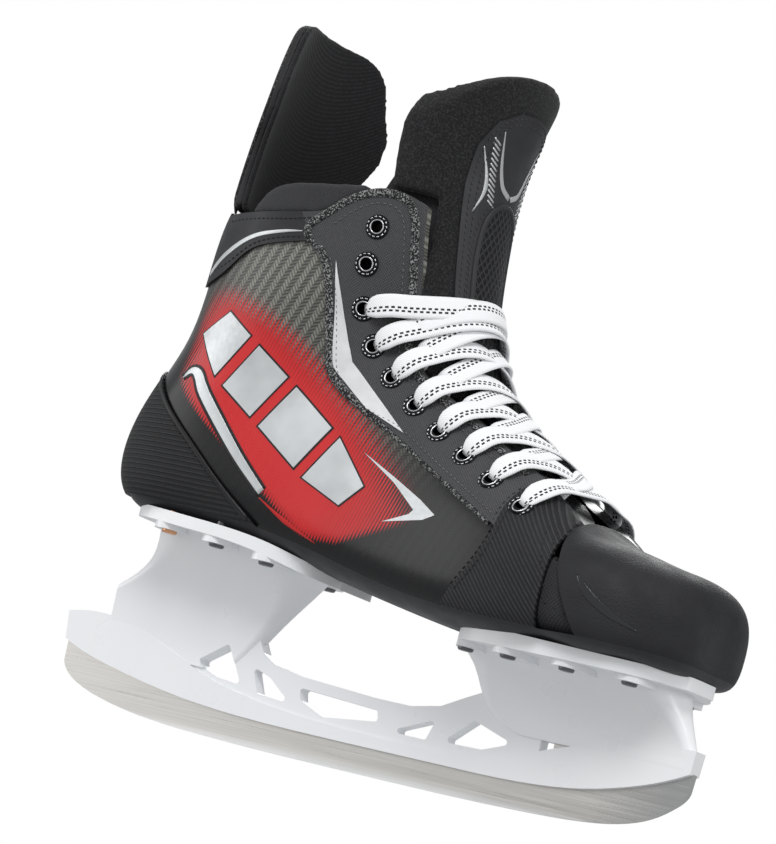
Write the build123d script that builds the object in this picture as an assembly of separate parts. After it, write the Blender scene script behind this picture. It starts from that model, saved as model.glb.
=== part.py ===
"""Right-foot ice hockey skate: a laced boot riveted to a moulded holder that carries a steel runner.

Frame: +X towards the toe, +Y towards the inner (medial) side, +Z up, in millimetres.  The origin is
the middle of the runner's flat, where the skate rests on the ice.
"""
import os
from math import atan2, cos, degrees, pi, radians, sin

from build123d import *

# ---------------------------------------------------------------- driving dimensions
STEEL_T = 3.0                  # runner thickness
GLIDE_FLAT = 30.0              # length of the flat in the middle of the runner
STEEL_IN_HOLDER = 4.6          # depth of the runner's hidden top edge inside the holder
SHELL_T = 2.6                  # moulded quarters and toe cap
LINER_T = 5.0                  # foam liner
OVERLAY_T = 1.2                # stitched overlays on the quarters
OUTSOLE_T = 4.5                # composite sole plate
RAIL_HALF_W = 4.0              # half width of the holder's lower rail
TRUSS_HALF_W = 3.1             # half width of the struts above the rail
RIVET_R = 2.0
RIVET_HEAD_R = 3.1
RIVET_HEAD_H = 1.3
BOSS_R = 6.2                   # boss round each rivet under the flange
EYELET_HOLE_R = 2.4
EYELET_BARREL_R = 3.0
EYELET_FLANGE_R = 4.9
EYELET_FLANGE_T = 0.6
LACE_W = 9.0
LACE_T = 1.1
BOLT_R = 2.5                   # runner bolts
GAP = 0.3                      # free space between soft parts that don't touch
WIDE = 200.0                   # longer than the skate is wide, for cutters
PAST_MIDDLE = 12.0             # how far a half form runs past the middle plane before it is trimmed

# Boot sections, toe to collar: instep point (x, z), sole or heel point (x, z), half width,
# height of the widest place as a share of the section, and the squareness of its lower and
# upper ends (2 is an ellipse, higher is squarer).
SECTIONS = [
    ((138.7, 89.0), (138.9, 69.0), 15.0, 0.50, 2.6, 2.4),
    ((137.5, 95.5), (137.7, 63.8), 26.0, 0.48, 3.2, 2.4),
    ((133.0, 99.3), (133.3, 61.6), 34.0, 0.46, 3.8, 2.4),
    ((127.0, 101.0), (127.4, 61.1), 38.5, 0.45, 4.2, 2.4),
    ((114.0, 103.3), (114.6, 60.9), 44.5, 0.43, 4.6, 2.5),
    ((96.0, 107.0), (97.0, 60.8), 48.0, 0.42, 4.8, 2.5),
    ((76.0, 118.0), (73.0, 60.6), 49.0, 0.40, 5.0, 2.4),
    ((51.0, 133.0), (42.0, 61.0), 46.5, 0.38, 5.2, 2.2),
    ((31.0, 146.0), (10.0, 65.0), 41.5, 0.38, 5.4, 2.2),
    ((17.0, 158.5), (-24.0, 71.0), 38.0, 0.40, 5.6, 2.2),
    ((10.0, 171.0), (-66.0, 78.5), 36.5, 0.42, 5.6, 2.2),
    ((8.6, 176.0), (-92.0, 80.5), 36.2, 0.42, 5.3, 2.2),
    ((6.7, 184.0), (-120.5, 82.8), 36.0, 0.43, 4.2, 2.3),
    ((5.5, 195.0), (-134.0, 107.0), 36.5, 0.45, 2.6, 2.4),
    ((5.5, 206.0), (-124.0, 139.0), 37.5, 0.46, 2.3, 2.6),
    ((6.0, 218.0), (-117.5, 172.0), 38.5, 0.46, 2.3, 2.8),
    ((6.5, 236.0), (-110.0, 211.0), 39.5, 0.46, 2.3, 2.8),
    ((7.0, 254.0), (-106.0, 238.0), 40.0, 0.46, 2.3, 2.8),
]
INNER_START = 2                # the shell's cavity begins at this section
FOOT_START = 3                 # the liner's cavity begins at this section
PAD_START = 12                 # the room inside the collar pad begins at this section
PAD_REACH = (-92, -40)         # rear and front ends of the collar pad
BEHIND_TAB_X = (-125, -112.2)  # where the liner stays clear of the tendon guard's tab
BEHIND_TAB_Z = (199, 210)

# Side-view lines (x, z)
SOLE_TOP = [(-160, 86), (-122, 86), (-92, 85), (-62, 83.5), (-25, 78), (12, 70.5), (46, 66.5),
            (90, 65.6), (160, 66)]
FOOTBED_TOP = [(-150, 96), (-118, 95.5), (-66, 91.5), (-24, 84), (10, 77.5), (42, 73.6), (73, 72.6),
               (150, 73)]
THROAT = [(-14, 262), (-13.5, 222), (-11.5, 200), (-9.5, 178), (-3, 158), (13, 147.5), (27, 141.0),
          (45, 131.5), (61, 124), (74, 116.5), (86, 108)]
LINER_THROAT = [(-37, 262), (-37, 222), (-35, 200), (-30, 178), (-17, 150), (4, 131), (20, 123),
                (40, 113), (58, 105), (74, 97), (100, 92)]
COLLAR = [(-160, 203), (-108, 203.5), (-84, 205), (-66, 206.8), (-52, 210), (-41, 218), (-30, 221.5),
          (-20, 220.5), (0, 207)]
PAD_TOP = [(-100, 190), (-91, 205), (-84, 214), (-72, 218), (-55, 219.5), (-40, 221.3), (-20, 222)]
TOE_CAP_REAR = [(82, 125), (85, 107), (88.5, 94), (95, 79), (103, 66), (106, 50)]
VAMP_REAR = [(66, 132), (62, 118), (60, 108), (59.5, 96), (55, 84), (47, 72), (41, 55)]
EYESTAY_REAR = [(-64, 230), (-59, 200), (-52, 192), (-46, 180), (-41, 160), (-36, 146), (-18, 136.5),
                (0, 128.5), (20, 118.5), (40, 109), (60, 99.5)]
BAND_LOWER = [(-160, 172), (-112, 174), (-98, 179), (-86, 189), (-72, 193.5), (-58, 196), (-44, 197.5),
              (-28, 198)]
COUNTER_FRONT = [(-160, 150), (-122, 138), (-106, 123), (-88, 109), (-72, 96.5), (-54, 84), (-40, 70)]

EYELETS = [(-30, 206), (-31, 191), (-29, 174), (-21.5, 160.5), (-9.5, 150), (4, 140.8), (18, 132.5),
           (33, 125), (48.5, 117.5), (66, 109.5)]
LACED_FROM = 2                 # the first eyelet from the top that carries the lace

# Tongue sections: ridge point (x, z), lean of the outward direction above +X in degrees,
# radius across, half angle of the arc, thickness
TONGUE = [
    ((91.0, 103.5), 62, 25.0, 52, 3.5),
    ((78.0, 113.5), 57, 25.0, 58, 4.0),
    ((62.0, 123.5), 57, 26.0, 62, 4.5),
    ((46.0, 131.5), 54, 27.0, 66, 5.0),
    ((30.0, 142.0), 48, 27.0, 70, 5.5),
    ((17.0, 156.0), 34, 28.0, 76, 6.0),
    ((8.5, 174.0), 20, 30.0, 84, 6.0),
    ((3.5, 196.0), 8, 31.5, 88, 6.0),
    ((1.0, 220.0), 0, 32.5, 90, 6.0),
    ((0.5, 236.0), -5, 34.0, 90, 6.0),
    ((3.0, 258.0), -8, 36.5, 84, 6.0),
    ((7.0, 283.0), -9, 38.5, 76, 6.0),
]
TONGUE_OUTLINE = [(0, 280), (12, 279), (24, 273.5), (31, 264), (36, 250), (38.5, 236), (39, 216),
                  (39, 150), (39, 70)]
COVER_T = 1.0                  # smooth cover on the tongue's face
COVER_OUTLINE = [(0, 266), (10, 265), (18, 259), (21, 248), (21, 232), (19, 210), (17, 180),
                 (14, 150), (12, 90)]
TONGUE_HINGE = (4.5, 196.0)    # where the tongue bends, in front of its face
TONGUE_SLOT = 23.0             # half width of the moving part between the facings
TONGUE_WINGS_Z = 231.0         # above this the whole width of the tongue moves

# Tendon guard sections: height, rear x on the middle plane, x at its edges, half width there
GUARD = [(206.8, -112.0, -98.5, 36.0), (233.0, -109.0, -94.5, 40.0), (257.0, -105.5, -89.0, 44.0),
         (288.0, -101.0, -86.0, 44.0)]
GUARD_OUTLINE = [(0, 286), (12, 286), (25, 284.8), (31.5, 280.5), (37, 268), (41.5, 254), (40, 243),
                 (36, 231), (33.5, 219), (33, 206.8)]
GUARD_T = 3.2
GUARD_FELT_T = 2.4

# Holder
STEEL_BOTTOM_REAR = [(-15, 0), (-45, 0.15), (-75, 0.75), (-100, 2.1), (-120, 5.0), (-134, 8.9),
                     (-141.5, 13.2), (-144.4, 18.5)]
STEEL_BOTTOM_FRONT = [(15, 0), (45, 0.15), (75, 0.8), (100, 2.2), (117.5, 4.9), (129, 9.0),
                      (137.8, 15.0), (142.6, 22.5)]
STEEL_LINE = [(-144.8, 25.9), (-133, 21.7), (-118, 18.3), (-98.5, 14.9), (-80, 12.6), (-62, 11.3),
              (-27, 10.5), (37, 10.6), (69.5, 11.0), (85, 12.0), (100, 14.0), (114, 17.2),
              (128, 21.6), (142.6, 28.2)]
RAIL_RIDGE = [(-146.5, 37), (-104, 34), (-89, 28.6), (-74, 23.2), (-55, 19.4), (-37, 17.2),
              (-14, 15.8), (37, 15.6), (52, 16.6), (69, 20.4), (81, 25), (100, 31), (143, 37)]
TRUSS = [(-86, 16), (-86, 44), (-56, 44), (-52, 37.5), (-45, 34), (-33, 31.8), (3, 30), (19, 30), (32, 32.6),
         (42, 38), (48, 41), (78, 41), (78, 14)]
WINDOWS = [
    ([(-80, 29.5), (-68, 38), (-58.5, 23), (-70, 24.2), (-79, 27.4)], 1.3),
    ([(-55, 31.5), (-46, 28.5), (-34, 20.2), (-50, 21.4)], 1.2),
    ([(-31.5, 27.4), (5, 25.6), (6.5, 21.2), (-18, 18.2), (-30, 22.6)], 1.2),
    ([(11.5, 18.6), (31.5, 27.0), (29, 18.6)], 1.1),
    ([(36.5, 19.4), (48, 30), (66.5, 24.5), (54, 19.8)], 1.2),
]
# Pedestal levels: z, rear x, front x, half width
HEEL_PEDESTAL = [(26.5, -147.8, -66, 3.9), (37, -144.8, -57.0, 4.0), (49, -131.5, -49.0, 5.0),
                 (60, -118.0, -41.5, 8.5), (69, -113.0, -36.0, 14.5), (84, -112.0, -30.0, 24.0)]
TOE_PEDESTAL = [(28.5, 66, 142.8, 3.9), (33, 55, 142.6, 4.0), (39, 48.5, 140.0, 4.6), (46, 44.2, 136.6, 7.5),
                (52.5, 40.0, 133.4, 14.0), (64, 35.0, 131.0, 26.0)]
HEEL_FLANGE = [(-119, 0), (-118.4, 12), (-113, 22.5), (-102, 28.5), (-86, 31), (-66, 31.5), (-48, 30.5),
               (-35, 27.5), (-26, 21), (-21, 11), (-19.5, 0)]
TOE_FLANGE = [(40, 0), (40.8, 14), (45.5, 27), (57, 34.5), (76, 38), (97, 38), (115, 34), (128.5, 25),
              (135.6, 12), (137.2, 0)]
HEEL_FLANGE_TOP = [(-126, 84.2), (-110, 83.2), (-88, 81.6), (-62, 79.8), (-46, 77.6), (-36, 75.4),
                   (-26, 73), (-14, 70.6)]
HEEL_FLANGE_LOW = [(-126, 79.4), (-110, 78.4), (-88, 76.8), (-62, 74.9), (-46, 72.4), (-36, 70.2),
                   (-26, 68.2), (-14, 66.2)]
TOE_FLANGE_TOP = [(34, 63.4), (50, 63.2), (76, 62.6), (110, 62.0), (132, 62.6), (142, 63.4)]
TOE_FLANGE_LOW = [(34, 57.4), (50, 57.0), (76, 56.8), (110, 57.0), (132, 57.6), (142, 58.2)]
HEEL_RIVETS = [(-96.4, 23.5), (-72.2, 25.0), (-48.0, 24.5)]
TOE_RIVETS = [(47.5, 23.0), (70.5, 31.0), (96.0, 31.0), (119.5, 24.5)]
RUNNER_BOLTS = [(-92.0, 44.0, 72.5), (92.0, 40.0, 53.0)]      # x, nut height, underside of head


# ---------------------------------------------------------------- helpers
def points_xz(points, y=0.0):
    return [Vector(x, y, z) for x, z in points]


def region(line, *corners, smooth=True):
    """A side-view region bounded by a line of points and then by straight corners, as wide as the skate."""
    points = points_xz(line)
    edges = Spline(*points).edges() if smooth else Polyline(*points).edges()
    closing = Polyline(points[-1], *points_xz(corners), points[0])
    return extrude(make_face([*edges, *closing.edges()]), WIDE, dir=(0, 1, 0), both=True)


def below(line):
    return region(line, (line[-1][0], -50), (line[0][0], -50))


def band(low, high):
    """The side-view region between two lines of points."""
    edges = [*Spline(*points_xz(low)).edges(), *Spline(*points_xz(high)).edges()]
    edges.append(Line(*points_xz([low[0], high[0]])))
    edges.append(Line(*points_xz([low[-1], high[-1]])))
    return extrude(make_face(edges), WIDE, dir=(0, 1, 0), both=True)


def plate(outline, half_width, radius=0.0):
    """A side-view polygon with rounded corners, extruded to both sides of the middle plane."""
    face = make_face(Polyline(*points_xz(outline), close=True))
    if radius:
        face = fillet(face.vertices(), radius)
    return extrude(face, half_width, dir=(0, 1, 0), both=True)


def block(x0, x1, y0, y1, z0, z1):
    return Pos((x0 + x1) / 2, (y0 + y1) / 2, (z0 + z1) / 2) * Box(x1 - x0, y1 - y0, z1 - z0)


def mirrored(shape):
    return mirror(shape, Plane.XZ)


def inner_side(shape):
    """What lies on the +Y side of the middle plane."""
    return shape & block(-200, 200, 0, 120, -20, 320)


def both_sides(half):
    """The +Y half of a shape joined to its mirror image."""
    half = inner_side(half)
    return half + mirrored(half)


def post(x, y, z0, z1, radius):
    return Pos(x, y, (z0 + z1) / 2) * Cylinder(radius, z1 - z0)


def fullness(power):
    """The handle length of a cubic curve that follows a superellipse quarter of that power."""
    return min((8 * 2 ** (-1 / power) - 4) / 3, 0.95)


def half_section(spec, inset):
    """The +Y half of one boot section, which runs on a little past the middle plane."""
    (tx, tz), (bx, bz), half, widest, low, high = spec
    length = ((tx - bx) ** 2 + (tz - bz) ** 2) ** 0.5
    down = Vector(bx - tx, 0, bz - tz) / length
    top = Vector(tx, 0, tz) + down * inset
    bottom = Vector(bx, 0, bz) - down * inset
    side = Vector(0, half - inset, 0)
    middle = bottom + (top - bottom) * widest
    reach_up, reach_down = (top - middle) * fullness(high), (bottom - middle) * fullness(low)
    upper = Bezier(top, top + side * fullness(high), middle + side + reach_up, middle + side)
    lower = Bezier(middle + side, middle + side + reach_down, bottom + side * fullness(low), bottom)
    past = Vector(0, PAST_MIDDLE + inset, 0)
    ends = [Line(top - past, top), Line(bottom, bottom - past), Line(bottom - past, top - past)]
    return make_face([upper, lower, *ends])


def boot_form(inset=0.0, first=0):
    """The +Y half of the boot's outer form, or of the same form moved in by inset, not yet trimmed.

    A form that is moved in or out also runs on past the ends of the outer form, for clean cuts.
    """
    sections = [half_section(s, inset) for s in SECTIONS[first:]]
    if inset:
        sections[-1] = Pos(0, 0, 2) * sections[-1]
    if inset < 0:
        sections[0] = Pos(-inset, 0, 0) * sections[0]
    return loft(sections)


def in_plan(outline):
    """The +Y half of a plan outline, smooth across the middle plane, as a tall prism."""
    points = [Vector(x, y, 0) for x, y in outline]
    curve = Spline(*points, tangents=[(0, 1, 0), (0, -1, 0)])
    return extrude(make_face([curve, Line(points[-1], points[0])]), 120, dir=(0, 0, 1))


def in_front(outline, x0, x1):
    """A front-view outline given as (y, z) down one side, mirrored and extruded along X."""
    right = Spline(*[Vector(x0, y, z) for y, z in outline])
    left = Spline(*[Vector(x0, -y, z) for y, z in outline])
    base = Line(right @ 1, left @ 1)
    return extrude(make_face([right, left, base]), x1 - x0, dir=(1, 0, 0))


def solids_of(shape, least=1.0):
    """A compound of a shape's solids, without boolean crumbs."""
    return Compound(children=[s for s in shape.solids() if s.volume > least])


# ---------------------------------------------------------------- boot
class Boot:
    """Half forms of the boot and the side-view regions that divide them."""

    def __init__(self):
        self.outer = boot_form()
        self.inner = boot_form(SHELL_T, INNER_START)
        self.foot = boot_form(SHELL_T + LINER_T, FOOT_START)
        self.overlay = inner_side(boot_form(-OVERLAY_T) - self.outer)
        self.under_sole = below(SOLE_TOP)
        self.under_collar = region(COLLAR, (200, 207), (200, -50), (-170, -50))
        self.behind_throat = region(THROAT, (86, 40), (-170, 40), (-170, 262))
        self.behind_toe_cap = region(TOE_CAP_REAR, (-170, 50), (-170, 300), (82, 300))
        self.behind_vamp = region(VAMP_REAR, (-170, 55), (-170, 300), (66, 300))
        self.shell = inner_side(self.outer - self.inner - self.under_sole)
        self.eyelet_planes = []
        self.sole_inside = boot_form(OUTSOLE_T, INNER_START)
        self.rivets = self.rivet_places()

    def rivet_places(self):
        """Each rivet of the +Y side: x, y, underside of its boss, top of the sole plate."""
        places = []
        for x, y in HEEL_RIVETS + TOE_RIVETS:
            hits = self.sole_inside.find_intersection_points(Axis((x, y, 0), (0, 0, 1)))
            places.append((x, y, boss_low(x), min(hit[0].Z for hit in hits)))
        return places


def outsole(boot):
    plate_half = (boot.outer - boot.sole_inside) & boot.under_sole
    for x, y, _, top in boot.rivets:
        plate_half = plate_half - post(x, y, 40, 120, RIVET_R) - post(x, y, top, top + 4, RIVET_HEAD_R)
    return both_sides(plate_half)


def clinch_rooms(boot):
    """Room for the upper end of each rivet of the +Y side."""
    rooms = [post(x, y, top - 5, top + 1.3, RIVET_HEAD_R + 0.3) for x, y, _, top in boot.rivets]
    return Compound(children=rooms)


def quarter(boot):
    wall = boot.shell & boot.under_collar & boot.behind_throat & boot.behind_toe_cap
    return wall - eyelet_posts(boot, EYELET_BARREL_R) - clinch_rooms(boot)


def toe_cap(boot):
    return both_sides(boot.shell & block(70, 170, -1, 90, 40, 130) - boot.behind_toe_cap)


def vamp_guard(boot):
    lower = boot.overlay & boot.behind_toe_cap & boot.behind_throat
    lower = lower - boot.behind_vamp - boot.under_sole
    return lower - eyelet_posts(boot, EYELET_BARREL_R) - eyelet_seats(boot)


def eyestay(boot):
    facing = boot.overlay & boot.behind_throat & boot.behind_vamp & boot.under_collar
    facing = facing - region(EYESTAY_REAR, (60, 40), (-170, 40), (-170, 230))
    return facing - eyelet_posts(boot, EYELET_BARREL_R) - eyelet_seats(boot)


def collar_band(boot):
    strip = boot.overlay & boot.under_collar & block(-150, -30, -1, 90, 150, 230)
    strip = strip - below(BAND_LOWER) - block(-150, -58, -1, 90, 100, 172)
    strip = strip & region(EYESTAY_REAR, (60, 40), (-170, 40), (-170, 230))
    return both_sides(strip) - block(-150, -95, -20.3, 20.3, 150, 230)


def guard_tab(boot):
    tab = boot.overlay & block(-150, -95, -1, 20, 180, 205.5)
    return both_sides(tab)


def heel_counter(boot):
    cup = boot.overlay & region(COUNTER_FRONT, (-40, 60), (-170, 60), (-170, 150))
    return both_sides(cup - boot.under_sole)


def collar_pad(boot):
    """The padded edge that stands above the shell at each side of the ankle."""
    sections = [half_section(s, SHELL_T + LINER_T) for s in SECTIONS[PAD_START:]]
    ankle_room = loft([*sections[:-1], Pos(0, 0, 2) * sections[-1]])
    above_collar = region(COLLAR, (0, 320), (-160, 320))
    edge = block(*PAD_REACH, -1, 90, 195, 240) & below(PAD_TOP) & above_collar
    return both_sides((inner_side(boot.outer) & edge) - ankle_room)


def liner(boot):
    foam = inner_side(boot.inner & boot.under_collar) - boot.foot
    foam = foam - region(LINER_THROAT, (100, 150), (60, 262))
    foam = foam - inner_side((boot.outer - boot.sole_inside) & boot.under_sole)
    foam = foam - eyelet_posts(boot, EYELET_BARREL_R + 0.5) - clinch_rooms(boot)
    return both_sides(foam - block(*BEHIND_TAB_X, -1, 15, *BEHIND_TAB_Z))


def footbed(boot):
    return both_sides(boot_form(SHELL_T + LINER_T, FOOT_START) & below(FOOTBED_TOP))


# ---------------------------------------------------------------- eyelets and lace
def eyelet_planes(boot):
    """Planes lying on the overlay at each eyelet of the +Y side, facing outwards."""
    if boot.eyelet_planes:
        return boot.eyelet_planes
    form = boot_form(-OVERLAY_T)
    planes = boot.eyelet_planes
    for x, z in EYELETS:
        hits = form.find_intersection_points(Axis((x, 0, z), (0, 1, 0)))
        point, normal = max(hits, key=lambda hit: hit[0].Y)
        if normal.Y < 0:
            normal = -normal
        planes.append(Plane(point, x_dir=(1, 0, 0), z_dir=normal))
    return planes


def eyelet_posts(boot, radius):
    posts = [plane.offset(-6) * Cylinder(radius, 16) for plane in eyelet_planes(boot)]
    return Compound(children=posts)


def eyelet_seats(boot):
    """Flat seats for the eyelet flanges, where the facing is hollow along its length."""
    planes = eyelet_planes(boot)
    return Compound(children=[plane.offset(2.5) * Cylinder(EYELET_FLANGE_R + 0.2, 5) for plane in planes])


def eyelets(boot):
    length = OVERLAY_T + SHELL_T + 0.8
    made = []
    for plane in eyelet_planes(boot):
        barrel = plane.offset(-length / 2) * Cylinder(EYELET_BARREL_R, length)
        flange = plane.offset(EYELET_FLANGE_T / 2) * Cylinder(EYELET_FLANGE_R, EYELET_FLANGE_T)
        flange = chamfer(flange.edges().sort_by(Axis(plane.origin, plane.z_dir))[-1], 0.35)
        hole = plane.offset(-length / 2) * Cylinder(EYELET_HOLE_R, 2 * length)
        made.append(barrel + flange - hole)
    halves = Compound(children=made)
    return Compound(children=[*halves.solids(), *mirrored(halves).solids()])


def lace(boot):
    """One arched bar for each laced pair of eyelets, lying just clear of the facings."""
    low = OVERLAY_T + EYELET_FLANGE_T + 0.8
    sheet = boot_form(-low - LACE_T) - boot_form(-low)
    bars = []
    for i in range(LACED_FROM, len(EYELETS)):
        x, z = EYELETS[i]
        x0, z0 = EYELETS[i - 1]
        x1, z1 = EYELETS[min(i + 1, len(EYELETS) - 1)]
        angle = degrees(atan2(z1 - z0, x1 - x0))
        slab = Pos(x, 45, z) * Rot(0, -angle, 0) * Pos(0, 0, 48) * Box(LACE_W, 100, 104)
        bars.append(solids_of(both_sides(sheet & slab), 20))
    return Compound(children=[s for bar in bars for s in bar.solids()])


# ---------------------------------------------------------------- tongue
def tongue_section(spec, grow=0.0):
    (x, z), lean, radius, half_angle, thick = spec
    across, along = cos(radians(lean)), sin(radians(lean))
    plane = Plane((x, 0, z), x_dir=(across, 0, along), z_dir=(-along, 0, across))
    arcs = []
    for r in (radius + grow, radius - thick):
        ends = [(r * cos(radians(a)) - radius, r * sin(radians(a))) for a in (-half_angle, 0, half_angle)]
        arcs.append([plane.from_local_coords(Vector(u, v, 0)) for u, v in ends])
    outer, inner = arcs
    sides = [Line(outer[2], inner[2]), Line(inner[0], outer[0])]
    return make_face([ThreePointArc(*outer), ThreePointArc(*inner), *sides])


def tongue_forms(boot):
    """The tongue's felt and its smooth cover, clear of the shell."""
    keep_out = boot_form(-OVERLAY_T) - boot_form(SHELL_T + GAP, INNER_START)
    keep_out = keep_out & block(-150, 150, -1, 90, 55, 224)
    facings = keep_out & boot.behind_throat
    toe = keep_out - boot.behind_toe_cap
    outline = in_front(TONGUE_OUTLINE, -80, 120)
    whole = loft([tongue_section(s) for s in TONGUE])
    felt = (whole & outline) - facings - mirrored(facings) - toe - mirrored(toe)
    raised = loft([tongue_section(s, COVER_T) for s in TONGUE])
    cover = (raised & in_front(COVER_OUTLINE, -60, 84)) - whole
    return felt, cover - facings - mirrored(facings) - toe - mirrored(toe)


def tongue_split(form):
    """The part that moves above the flex line, and the part that stays laced down."""
    hx, hz = TONGUE_HINGE
    slot = block(-80, 60, -TONGUE_SLOT, TONGUE_SLOT, hz + GAP, 300)
    wings = block(-80, 60, -60, 60, TONGUE_WINGS_Z, 300)
    slot_room = block(-80, 60, -TONGUE_SLOT - 0.6, TONGUE_SLOT + 0.6, hz - GAP, 300)
    wings_room = block(-80, 60, -60, 60, TONGUE_WINGS_Z - 0.8, 300)
    return form & (slot + wings), form - (slot_room + wings_room)


# ---------------------------------------------------------------- tendon guard
def guard_layer(start, thick):
    faces = []
    for z, rear, edge, half in GUARD:
        outer = [Vector(edge + start, -half, z), Vector(rear + start, 0, z), Vector(edge + start, half, z)]
        inner = [v + Vector(thick, 0, 0) for v in outer]
        sides = [Line(outer[2], inner[2]), Line(inner[0], outer[0])]
        faces.append(make_face([ThreePointArc(*outer), ThreePointArc(*inner), *sides]))
    return loft(faces) & in_front(GUARD_OUTLINE, -140, -60)


# ---------------------------------------------------------------- holder and runner
def pedestal(levels):
    faces = []
    for z, rear, front, half in levels:
        faces.append(Pos((rear + front) / 2, 0, z) * SlotOverall(front - rear, 2 * half))
    return loft(faces)


def flange(plan, low, top):
    return in_plan(plan) & band(low, top)


def bosses(places):
    """A boss round each rivet of the +Y side, tied to the middle by a rib."""
    made = []
    for x, y in places:
        low = boss_low(x)
        made.append(post(x, y, low, 100, BOSS_R))
        made.append(block(x - BOSS_R, x + BOSS_R, 0, y, low, 100))
    return Compound(children=made)


def line_at(line, x):
    for (x0, z0), (x1, z1) in zip(line, line[1:]):
        if x0 <= x <= x1:
            return z0 + (z1 - z0) * (x - x0) / (x1 - x0)
    return line[-1][1]


def boss_low(x):
    """Height of the flat underside of the rivet boss at x."""
    return line_at(HEEL_FLANGE_LOW if x < 0 else TOE_FLANGE_LOW, x) - 2.4


def rivets(places):
    made = []
    for x, y, low, top in places:
        head = post(x, y, low - RIVET_HEAD_H, low, RIVET_HEAD_R)
        head = fillet(head.edges().sort_by(Axis.Z)[0], 0.9)
        clinch = post(x, y, top, top + 1.0, RIVET_HEAD_R - 0.1)
        made.append(head + post(x, y, low, top, RIVET_R) + clinch)
    made = Compound(children=made)
    return Compound(children=[*made.solids(), *mirrored(made).solids()])


def runner():
    rear = points_xz(STEEL_BOTTOM_REAR)
    front = points_xz(STEEL_BOTTOM_FRONT)
    top = [Vector(x, 0, z + STEEL_IN_HOLDER) for x, z in STEEL_LINE[1:-1]]
    rear_end = Vector(-144.8, 0, 26.6)
    front_end = Vector(142.9, 0, 28.6)
    edges = [
        Line(rear[0], front[0]),
        Spline(*rear, tangents=[(-1, 0, 0), (0, 0, 1)]),
        Spline(*front, tangents=[(1, 0, 0), (0, 0, 1)]),
        Line(rear[-1], rear_end),
        Line(front[-1], front_end),
        Line(rear_end, top[0]),
        Line(front_end, top[-1]),
        Spline(*top),
    ]
    steel = extrude(make_face(edges), STEEL_T / 2, dir=(0, 1, 0), both=True)
    for x, nut_z, _ in RUNNER_BOLTS:
        lug = block(x - 9, x + 9, -STEEL_T / 2, STEEL_T / 2, 14, nut_z + 6)
        lug = lug - block(x - 4.2, x + 4.2, -5, 5, nut_z - 2.2, nut_z + 2.2)
        lug = lug - block(x - 2.8, x + 2.8, -5, 5, nut_z - 6, nut_z + 20)
        steel = steel + lug
    return steel


def runner_nuts():
    made = []
    for x, z, _ in RUNNER_BOLTS:
        made.append(block(x - 4, x + 4, -3.1, 3.1, z - 2, z + 2) - post(x, 0, z - 5, z + 5, BOLT_R))
    return Compound(children=made)


def runner_bolts():
    made = []
    for x, z, under in RUNNER_BOLTS:
        bolt = post(x, 0, z - 4, under, BOLT_R) + post(x, 0, under, under + 3.5, 4.4)
        socket = Pos(x, 0, under + 2.6) * extrude(RegularPolygon(2.3, 6), 2)
        made.append(bolt - socket)
    return Compound(children=made)


def bolt_rooms():
    made = []
    for x, z, under in RUNNER_BOLTS:
        made.append(post(x, 0, z - 6.5, under + 1, BOLT_R + 0.25))
        made.append(post(x, 0, under, under + 40, 4.7))
        made.append(block(x - 4.2, x + 4.2, -3.3, 3.3, z - 2.2, z + 2.2))
    return Compound(children=made)


def holder(boot):
    """The +Y half of the holder, less everything that sits in or on it, then mirrored."""
    half_room = block(-200, 200, 0, 90, -10, 120)
    half = pedestal(HEEL_PEDESTAL) & half_room & below(HEEL_FLANGE_TOP)
    half = half + (pedestal(TOE_PEDESTAL) & half_room & below(TOE_FLANGE_TOP))
    half = half + (plate(TRUSS, TRUSS_HALF_W) & half_room)
    for outline, radius in WINDOWS:
        half = half - plate(outline, 20, radius)
    half = half + (band(STEEL_LINE, RAIL_RIDGE) & block(-200, 200, 0, RAIL_HALF_W, -10, 100))
    for plan, low, top, places in (
        (HEEL_FLANGE, HEEL_FLANGE_LOW, HEEL_FLANGE_TOP, HEEL_RIVETS),
        (TOE_FLANGE, TOE_FLANGE_LOW, TOE_FLANGE_TOP, TOE_RIVETS),
    ):
        half = half + flange(plan, low, top)
        half = half + (bosses(places) & in_plan(plan) & below(top))
    for x, y, low, _ in boot.rivets:
        half = half - post(x, y, 40, 120, RIVET_R) - post(x, y, low - 6, low, RIVET_HEAD_R + 0.8)
    under_holder = region(STEEL_LINE, (150, 34), (150, -50), (-160, -50), (-160, 31))
    half = half - boot.outer - under_holder - runner() - bolt_rooms()
    return both_sides(half)


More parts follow.
